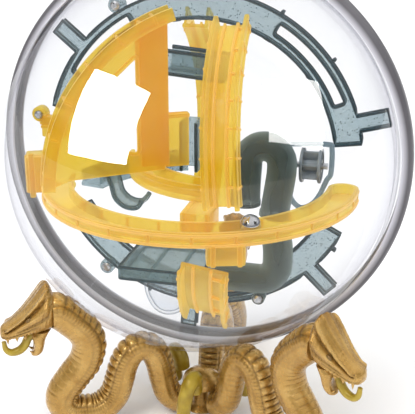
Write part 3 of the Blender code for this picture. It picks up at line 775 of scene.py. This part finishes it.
def pipes():
    path = pipe_path(-30.0, [(30.0, -14.0), (30.2, -4.0), (30.6, 4.0)],
                     arc(8.2, 170.0, 10.0, 8, (39.0, 7.0)),
                     [(47.0, 2.0), (45.6, -8.0), (44.0, -19.0)], 64)
    shape = Shape().tube(path, 7.0, 32, bore=5.5)
    for end, back in ((0, 1), (-1, -2)):
        way = path[end] - path[back]
        way /= np.linalg.norm(way)
        shape.tube([path[end] - way * 2.2, path[end]], 7.35, 32, bore=6.9)
    shape.finish("u_bend", PIPE, "u_pipe", sharp=50.0)
    path = pipe_path(-34.0, [(17.0, -50.5), (26.0, -50.5), (36.0, -50.5)],
                     arc(9.0, 270.0, 360.0, 6, (38.0, -41.5)),
                     [(47.0, -34.0), (46.0, -27.0)], 56)
    shape = Shape().tube(path, 7.2, 32, bore=5.7)
    shape.eyelet(1.6, 3.2, 3.0, 0.2, 0.3, (38.5, -35.0, -59.5), 24)
    shape.finish("elbow", PIPE, "elbow_pipe", sharp=50.0)


def spinner():
    x, y, z = 58.5, -12.0, 2.0
    near, far = x - 12.0, x + 9.5
    corners = [(near, 10.0), (near, -1.0), (near + 0.5, -9.0), (near + 3.0, -16.5),
               (near + 7.5, -20.0), (near + 13.0, -17.5), (near + 16.5, -12.5),
               (far - 3.1, -7.8), (far - 1.7, -4.5), (far, -1.0), (far, 11.0),
               (far - 2.0, 13.0), (near + 2.0, 12.0), (near, 10.0)]
    line = smooth_path([(a, y, b) for a, b in corners], 110)[:-1]
    Shape().tube(line, 1.3, 14, closed=True).finish(
        "hoop", HOOP, "spinner_hoop")
    along = basis((0, 0, 1), (1, 0, 0), (x, y, z))
    shape = Shape()
    for end in (-4.3, 4.3):
        shape.ring(rounded(oblong(6.9, 8.5, end - 0.7, end + 0.7), 0.4, 2), 0, 360, 48, along)
    shape.ring(rounded(oblong(1.8, 3.4, -5.0, 5.0), 0.3, 2), 0, 360, 32, along)
    for i in range(6):
        blade = along @ turned(60.0 * i + 15)
        shape.box((4.6, 1.1, 9.2), blade @ move(5.3, 0, 0), 0.3)
    shape.finish("wheel", SPINNER, "spinner_wheel", "spinner")


# ---- stand

def on_stand(shape, side, piece, node_name, look, place):
    shape.finish(f"serpent_{side}_{piece}", look, f"serpent_{side}_{node_name}", "stand", place,
                 60.0)


def body_line():
    knots = [(80.1, 69.7), (77.6, 69.6), (74.6, 67.6), (70.3, 63.5), (64.5, 57.0), (61.5, 49.0),
             (64.0, 39.0), (71.0, 30.0), (76.6, 22.0), (77.3, 15.5), (73.0, 10.3), (65.0, 8.6),
             (57.0, 9.2), (49.5, 15.0), (46.0, 24.0), (43.5, 33.0), (39.5, 40.0), (33.5, 43.0),
             (27.5, 40.0), (24.0, 32.0), (22.0, 22.0), (19.5, 13.0), (15.0, 8.0), (11.0, 7.0)]
    return smooth_path([(x, 0.0, z) for x, z in knots], 620)


def bell(x, width):
    return math.exp(-(x / width) ** 2)


def serpent_body(side, place):
    """A scaled body: broad scutes along the back, two side grooves with ticks between."""
    line = body_line()
    step = np.gradient(line, axis=0)
    run = np.concatenate([[0.0], np.cumsum(np.linalg.norm(np.diff(line, axis=0), axis=1))])
    step /= np.linalg.norm(step, axis=1)[:, None]
    count = 64
    pitch = 3.6
    rows, tone = [], []
    for k, (p, t) in enumerate(zip(line, step)):
        back = np.array((t[2], 0.0, -t[0]))
        radius = NECK_R - 2.2 * k / (len(line) - 1)
        phase = (run[k] / pitch) % 1.0
        scute = abs(math.sin(math.pi * phase)) ** 0.55
        crease = bell(min(phase, 1 - phase), 0.09)
        tick = bell(min((2 * phase) % 1.0, 1 - (2 * phase) % 1.0), 0.16)
        row = []
        for i in range(count):
            turn = 2 * math.pi * i / count
            wide = abs(math.degrees(math.atan2(math.sin(turn), math.cos(turn))))
            dorsal = 1.0 / (1.0 + math.exp((wide - 44.0) / 3.0))
            ventral = 1.0 / (1.0 + math.exp((118.0 - wide) / 4.0))
            lift = dorsal * (1.15 * scute - 0.75)
            lift -= 0.45 * bell(wide - 50.0, 3.2) + 0.34 * bell(wide - 82.0, 3.0)
            strip = bell(wide - 66.0, 13.0)
            lift -= 0.16 * strip * tick
            lift -= 0.16 * ventral * crease
            # Painted light: dark paints shade into the creases between scutes on the back and
            # belly, into the two side grooves and into the ticks between them, and shine paints a
            # highlight on the scute tops.
            dark = (0.75 * dorsal * crease + 0.55 * bell(wide - 50.0, 3.0)
                    + 0.5 * bell(wide - 82.0, 2.6) + 0.35 * strip * tick
                    + 0.25 * ventral * crease)
            shine = 0.35 * dorsal * max(0.0, scute - 0.75) * 4
            unit = math.cos(turn) * back + np.array((0.0, math.sin(turn), 0.0))
            row.append(tuple(p + unit * (radius + lift)))
            tone.append(min(1.0, dark) - shine)
        rows.append(row)
    shape = Shape().grid(rows, tone=tone)
    on_stand(shape, side, "skin", "body", GOLD, place)


def ease(value, start, end):
    t = max(0.0, min(1.0, (value - start) / (end - start)))
    return t * t * (3 - 2 * t)


def head_relief(wide, u):
    """How far a head's skin stands out, and how much painted shade (positive) or painted
    highlight (negative) it gets, at an angle above the level and a share of its length: a horned
    brow over a deep furrow, a cheekbone, lip bumps, a nostril."""
    run = ease(u, 0.04, 0.22) * (1 - ease(u, 0.88, 0.97))
    ridge = wide - 50.0 + 26.0 * u
    crown = ease(u, 0.0, 0.15) * (1 - ease(u, 0.5, 0.9))
    fold = abs(math.sin(math.pi * (9.0 * u + 0.022 * wide)))
    scale = abs(math.sin(math.pi * 17 * u)) * abs(math.sin(math.radians(4.5 * wide + 250 * u)))
    # The third column is painted light: it paints shade into the furrow, the grooves, the cheek
    # folds, the line of the mouth and the nostril, and paints highlight on the brow, the cheekbone
    # and the scales. The last row darkens the whole head evenly.
    features = (  # share, how much it lifts, how much it darkens
        (bell(ridge, 6.0) * run * (1.0 - 0.35 * u), 2.3, 0.0),  # brow
        (bell(ridge, 5.0) * run, 0.0, -0.55),
        (bell(ridge + 15.0, 6.0) * run, -1.7, 0.85),  # furrow under it
        (bell(wide - 6.0 - 8.0 * u, 7.0) * ease(u, 0.08, 0.2) * (1 - ease(u, 0.55, 0.75)),
         1.6, -0.25),  # cheekbone
        (bell(wide + 12.0, 5.0) * ease(u, 0.05, 0.2) * (1 - ease(u, 0.6, 0.8)), -1.1, 0.7),
        (bell(wide - 68.0, 3.6) * crown, -0.35, 0.3),
        (bell(wide - 88.0, 3.6) * crown, -0.5, 0.3),
        (bell(wide + 2.0, 22.0) * bell(u - 0.16, 0.13), 0.9 - 0.9 * (1 - fold) ** 2,
         0.6 * (1 - fold) ** 3),  # cheek
        (abs(math.sin(math.pi * 15.0 * u)) * bell(wide + 40.0, 8.0) * ease(u, 0.3, 0.5),
         0.7, 0.0),  # lip bumps
        (bell(wide + 27.0, 4.0) * ease(u, 0.28, 0.4), -0.7, 0.7),  # line of the mouth
        (bell(wide - 26.0, 22.0) * bell(u - 0.87, 0.055), 1.3, 0.0),  # nose
        (bell(wide - 30.0, 7.0) * bell(u - 0.915, 0.016), -1.6, 1.2),  # nostril
        (scale, 0.14, -0.12), (1.0, 0.0, 0.12))
    lift = sum(share * lifts for share, lifts, _ in features)
    dark = sum(share * darkens for share, _, darkens in features)
    return 0.8 * lift, 0.62 * dark


def serpent_head(side, place):
    """Wedge-shaped head with a crest, horned brows, cheeks, furrows, nostrils and an upper
    lip."""
    stations = [(78.6, 62.6, 79.0, 6.2), (80.4, 61.8, 84.4, 7.8), (82.4, 61.2, 86.6, 9.2),
                (84.6, 60.8, 85.0, 10.0), (88.0, 60.0, 80.8, 9.7), (91.5, 59.4, 76.6, 8.6),
                (95.5, 58.6, 72.2, 7.4), (99.5, 57.9, 68.8, 6.4), (103.0, 57.5, 66.2, 5.6),
                (105.4, 57.9, 64.8, 4.6), (106.6, 58.9, 63.4, 3.0), (107.0, 60.2, 62.2, 1.0)]
    line = smooth_path([s[:3] for s in stations], 120)
    half = np.interp(line[:, 0], [s[0] for s in stations], [s[3] for s in stations])
    count = 132
    rows, tone = [], []
    for (x, low, high), wide_by in zip(line, half):
        middle, rise = (low + high) / 2, (high - low) / 2
        u = (x - line[0][0]) / (line[-1][0] - line[0][0])
        row = []
        for i in range(count):
            turn = 2 * math.pi * i / count
            c, s = math.cos(turn), math.sin(turn)
            y = wide_by * math.copysign(abs(c) ** (0.9 if s > 0 else 0.7), c)
            z = rise * math.copysign(abs(s) ** 0.92, s)
            lift, dark = head_relief(math.degrees(math.asin(max(-1.0, min(1.0, s)))), u)
            lift *= min(1.0, wide_by / 5.0)
            length = math.hypot(y, z) or 1.0
            row.append((x, y + lift * y / length, middle + z + lift * z / length))
            tone.append(max(-0.6, min(1.0, dark)))
        rows.append(row)
    shape = Shape().grid(rows, tone=tone)
    for sign in (-1, 1):
        eye = move(92.6, sign * 8.3, 70.0) @ turned(28.0, "Y")
        plain = len(shape.corners)
        shape.spun([(0.0, 1.2), (0.7, 1.0), (1.1, 0.5), (1.2, 0.0), (1.1, -0.5), (0.7, -1.0),
                    (0.0, -1.2)], eye @ Matrix.Diagonal((1.5, 0.9, 0.8, 1.0)), 16)
        shape.tint(plain, 0.75)
        for x, y, long in ((103.4, 3.3, 3.6), (98.8, 4.8, 2.2), (94.6, 5.6, 1.8)):
            fang = move(x, sign * y, 58.6 + 0.1 * (103.4 - x))
            shape.spun([(0.0, -long), (0.35, -0.7 * long), (0.8, -0.2 * long), (0.95, 0.6),
                        (0.0, 1.4)], fang, 12)
    on_stand(shape, side, "mask", "head", GOLD, place)


def serpent_jaw(side, place):
    """The lower jaw, dropped open, with a chin that curls forwards."""
    stations = [(60.5, 81.0, 90.5, 6.4), (58.0, 82.6, 92.0, 6.6), (55.0, 84.0, 91.6, 6.0),
                (51.5, 84.8, 91.2, 5.2), (48.5, 85.6, 91.8, 4.2), (46.6, 87.0, 92.2, 3.0),
                (45.9, 88.6, 91.2, 1.2)]
    line = smooth_path([(s[0], s[1], s[2]) for s in stations], 36)
    half = np.interp(-line[:, 0], [-s[0] for s in stations], [s[3] for s in stations])
    rows, tone = [], []
    for k, (z, near, far) in enumerate(line):
        middle, reach = (near + far) / 2, (far - near) / 2
        row = []
        for i in range(36):
            turn = 2 * math.pi * i / 36
            c, s = math.cos(turn), math.sin(turn)
            hollow = 1.4 * bell(c, 0.5) * max(0.0, s) * bell(k / 35 - 0.45, 0.35)
            row.append((middle + reach * s - hollow, half[k] * c, z))
            # Painted shade: the dent's depth darkens the gold there.
            tone.append(0.5 * hollow)
        rows.append(row)
    shape = Shape().grid(rows, tone=tone)
    for sign in (-1, 1):
        shape.spun([(0.0, 2.4), (0.3, 1.6), (0.75, 0.2), (0.0, -0.8)],
                   move(91.2, sign * 2.6, 48.4)
                   @ turned(50, "Y"), 10)
    on_stand(shape, side, "chin", "jaw", GOLD, place)


def serpent_soft(side, turn, place):
    lick = [(90.0, 0.0, 58.6), (93.0, 0.0, 55.8), (95.0, 0.0, 52.0), (98.0, 0.0, 49.4),
            (102.0, 0.0, 48.8), (104.6, 0.0, 51.0), (105.4, 0.0, 55.4)]
    count = 44
    radii = np.linspace(2.3, 1.15, count) + 0.5 * np.sin(np.linspace(0, 3.1, count)) ** 2
    on_stand(Shape().tube(smooth_path(lick, count), radii, 18), side, "lick", "tongue", OLIVE,
             place)
    curl = [(15.8, 0.0, 19.0), (16.2, 0.5, 25.0), (19.5, 1.0, 28.5), (23.3, -1.0, 25.0),
            (24.6, -3.0, 15.0), (24.0, -4.0, 5.2)]
    count = 60
    radii = np.linspace(4.6, 3.6, count)
    radii[-6:] *= (1.0, 0.97, 0.92, 0.82, 0.65, 0.3)
    on_stand(Shape().tube(smooth_path(curl, count), radii, 24), side, "curl", "tail", OLIVE,
             turned(turn + 60.0))


def hub():
    outline = [(0.0, 25.0), (3.5, 24.4), (6.5, 23.0), (9.4, 20.6), (10.6, 17.6), (10.4, 15.0),
               (7.4, 13.8), (4.6, 13.0), (4.3, 8.0), (4.6, 3.2), (7.2, 1.4), (8.0, 0.7),
               (8.0, 0.0), (0.0, 0.0)]
    Shape().spun(outline, None, 40).finish("hub", GOLD, "stand_hub", "stand",
                                           Matrix.Identity(4))


# ---- build

dome("front_dome", -1)
dome("rear_dome", 1)
band_half("band_upper", BAND_SEAM)
band_half("band_lower", BAND_SEAM + 180.0)
frame_arc("frame_upper", 8.0, 165.0, [15.0, 140.0], [(23.0, 60.0), (118.0, 150.0)],
          (85.0, 120.0), (38.0, 61.0, 100.0))
frame_arc("frame_lower", 207.0, 333.0, [266.0, 315.5], [(273.0, 303.0)],
          (85.0, 232.0), (250.0, 327.0))
for name, at, size in (("frame_screw_top", (*polar(85.0, 120.0), -3.5), 2.6),
                       ("frame_screw_low", (*polar(85.0, 232.0), -3.5), 2.6),
                       ("bracket_screw", (-86.5, 16.0, -4.3), 2.2),
                       ("elbow_screw", (38.5, -59.5, -38.3), 2.2)):
    cross_head((at[0], at[2], at[1]), (0, -1, 0), size).finish(
        name + "_head", STEEL, name)

crescent()
sail()
upright_track("meridian", "meridian_track", 31.0, 8.0, 76.5, 84.0, -1.0, 62.0, lean=-5.0, ribs=7)
upright_track("chute", "lower_chute", 25.0, 11.0, 76.5, 84.0, -52.0, -21.0, lean=8.0, ribs=3)
upright_track("arch", "rear_arch", -14.0, 7.0, 70.0, 82.0, -40.0, 55.0, side=1, ribs=7)
level_track("ramp", "inner_ramp", AMBER, (20.0, -5.0), 41.0, 54.0, -5.0, 3.0,
            186.0, 266.0)
level_track("gallery", "rear_gallery", SMOKE, (0.0, 0.0), 60.0, 74.0, -28.0,
            -19.0, 112.0, 168.0)
bracket()
trough()
centre_channel()
wave()
tray()
bowl()
pipes()
spinner()
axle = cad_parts["spinner_axle"]
axle.data.materials.clear()
axle.data.materials.append(STEEL)

steel = Shape()
where = (move(*TRACK_CENTRE, 0.0)
         @ turned(STEEL_ANGLE)
         @ move((TRACK_INNER + TRACK_OUTER) / 2, 0, TRACK_LOW + 2.0 + STEEL_R + 0.1))
steel.spun([polar(STEEL_R, a) for a in np.linspace(90, -90, 40)], where, 64)
steel.finish("marble", CHROME, "steel_ball", "marble", sharp=60.0)

for side, turn in SERPENTS.items():
    place = turned(turn)
    serpent_body(side, place)
    serpent_head(side, place)
    serpent_jaw(side, place)
    serpent_soft(side, turn, place)
hub()


# ---- studio

def stand_in(name, data):
    """An object in the scene for a lamp, a camera or a piece of the studio."""
    made = bpy.data.objects.new(name, data)
    bpy.context.scene.collection.objects.link(made)
    return made


def aimed(way):
    return Vector(way).to_track_quat("-Z", "Y").to_euler()


def camera():
    """Level with the ball's upper part and looking a little down."""
    lens = bpy.data.cameras.new("camera")
    lens.sensor_width = 36.0
    lens.lens = 82.41
    lens.clip_start = 0.01
    rise, distance = math.radians(16.6), 0.485
    yaw, pitch = math.radians(0.41), math.radians(19.81)
    made = stand_in("camera", lens)
    made.location = (0.0, -distance * math.cos(rise),
                     BALL_HEIGHT * MM + distance * math.sin(rise))
    made.rotation_euler = aimed((math.sin(yaw) * math.cos(pitch),
                                  math.cos(yaw) * math.cos(pitch), -math.sin(pitch)))
    bpy.context.scene.camera = made


def lamp(name, at, side, power, receivers):
    light = bpy.data.lights.new(name, "AREA")
    light.shape = "RECTANGLE"
    light.size = light.size_y = side
    light.energy = power
    made = stand_in(name, light)
    made.location = at
    made.rotation_euler = aimed(Vector((0, 0, 0.14)) - Vector(at))
    made.visible_camera = False
    made.light_linking.receiver_collection = receivers


def window(name, azimuth, height, size, roll, strength, receivers):
    """A soft lit panel that faces the ball. Only the clear dome mirrors it, and only where
    nothing clear is passed on the way."""
    distance = 0.98
    look, tree = graph(name)
    passed = node(tree, "ShaderNodeLightPath").outputs["Transparent Depth"]
    level = sums(tree, "MULTIPLY", sums(tree, "LESS_THAN", passed, 0.5), strength)
    glow = node(tree, "ShaderNodeEmission", {"Color": (1.0, 0.99, 0.965, 1.0),
                                             "Strength": level})
    node(tree, "ShaderNodeOutputMaterial", {"Surface": glow.outputs[0]})
    where = (move(0, 0, BALL_HEIGHT * MM) @ turned(azimuth) @ turned(-height, "Y")
             @ move(distance, 0, 0) @ turned(roll, "X"))
    y, z = size[0] / 2, size[1] / 2
    mesh = bpy.data.meshes.new(name)
    mesh.from_pydata([where @ Vector((0, *c)) for c in ((-y, z), (y, z), (y, -z), (-y, -z))], [],
                     [(0, 1, 2, 3)])
    mesh.materials.append(look)
    panel = stand_in(name, mesh)
    panel.visible_camera = False
    panel.visible_diffuse = False
    panel.visible_transmission = False
    panel.visible_shadow = False
    panel.light_linking.receiver_collection = receivers


def floor():
    reach = 6.0
    mesh = bpy.data.meshes.new("floor")
    mesh.from_pydata([(-reach, -reach, 0), (reach, -reach, 0), (reach, reach, 0),
                      (-reach, reach, 0)], [], [(0, 1, 2, 3)])
    mesh.materials.append(solid_look("floor_white", [(0.3, (0.92, 0.92, 0.925)),
                                                     (0.7, (0.94, 0.94, 0.945))], 0.6, 0.0,
                                     300.0, 0.02, 20.0))
    stand_in("floor", mesh)


def backdrop():
    """White where the camera sees it; darker low down for what the pieces mirror."""
    world = bpy.data.worlds.new("studio")
    bpy.context.scene.world = world
    world.use_nodes = True
    tree = world.node_tree
    tree.nodes.clear()
    around = node(tree, "ShaderNodeTexCoord").outputs["Generated"]
    rise = spread(tree, node(tree, "ShaderNodeSeparateXYZ", {"Vector": around}).outputs["Z"],
                  0.0, 1.0, -0.2, 0.9)
    shades = ramp(tree, rise, [(0.0, (0.75, 0.75, 0.78)), (0.25, (0.55, 0.55, 0.58)),
                               (0.6, (0.9, 0.9, 0.92)), (1.0, (1.0, 1.0, 1.0))])
    mirrored = ramp(tree, rise, [(0.0, (0.80, 0.80, 0.82)), (0.21, (0.30, 0.30, 0.32)),
                                 (0.34, (0.34, 0.34, 0.36)), (0.46, (1.0, 1.0, 1.02)),
                                 (0.85, (1.3, 1.3, 1.3))])
    ray = node(tree, "ShaderNodeLightPath").outputs
    lit = node(tree, "ShaderNodeBackground",
               {"Color": blend(tree, ray["Is Glossy Ray"], shades, mirrored), "Strength": 0.85})
    seen = node(tree, "ShaderNodeBackground", {"Color": (1.0, 1.0, 1.0, 1.0), "Strength": 1.05})
    direct = sums(tree, "MAXIMUM", ray["Is Camera Ray"], ray["Is Transmission Ray"])
    node(tree, "ShaderNodeOutputWorld",
         {"Surface": either(tree, direct, lit.outputs[0], seen.outputs[0])})


def lights():
    domes = [bpy.data.objects[name] for name in ("front_dome_clear", "rear_dome_clear")]
    unmirrored = bpy.data.collections.new("not_mirrored_on")
    for dome_piece in domes:
        unmirrored.objects.link(dome_piece)
    for member in unmirrored.collection_objects:
        member.light_linking.link_state = "EXCLUDE"
    lamp("key", (-0.75, -0.9, 1.2), 0.5, 6.0, unmirrored)
    lamp("fill", (1.1, -0.6, 0.9), 0.7, 4.0, unmirrored)
    sun = bpy.data.lights.new("sky", "SUN")
    sun.energy = 1.5
    sun.angle = math.radians(35.0)
    sky = stand_in("sky", sun)
    sky.rotation_euler = aimed((0.25, 0.35, -1.0))
    sky.visible_glossy = False
    mirrored = bpy.data.collections.new("mirrored_on")
    mirrored.objects.link(domes[0])
    window("window_left", 212.5, 26.0, (0.65, 0.68), 4.5, 46.0, mirrored)
    window("window_right", -31.5, 28.5, (0.56, 0.55), -24.0, 17.0, mirrored)


camera()
floor()
backdrop()
lights()
scene = bpy.context.scene
scene.view_settings.view_transform = "Standard"
scene.view_settings.look = "None"
scene.cycles.transparent_max_bounces = 32
scene.cycles.transmission_bounces = 12
scene.cycles.max_bounces = 14
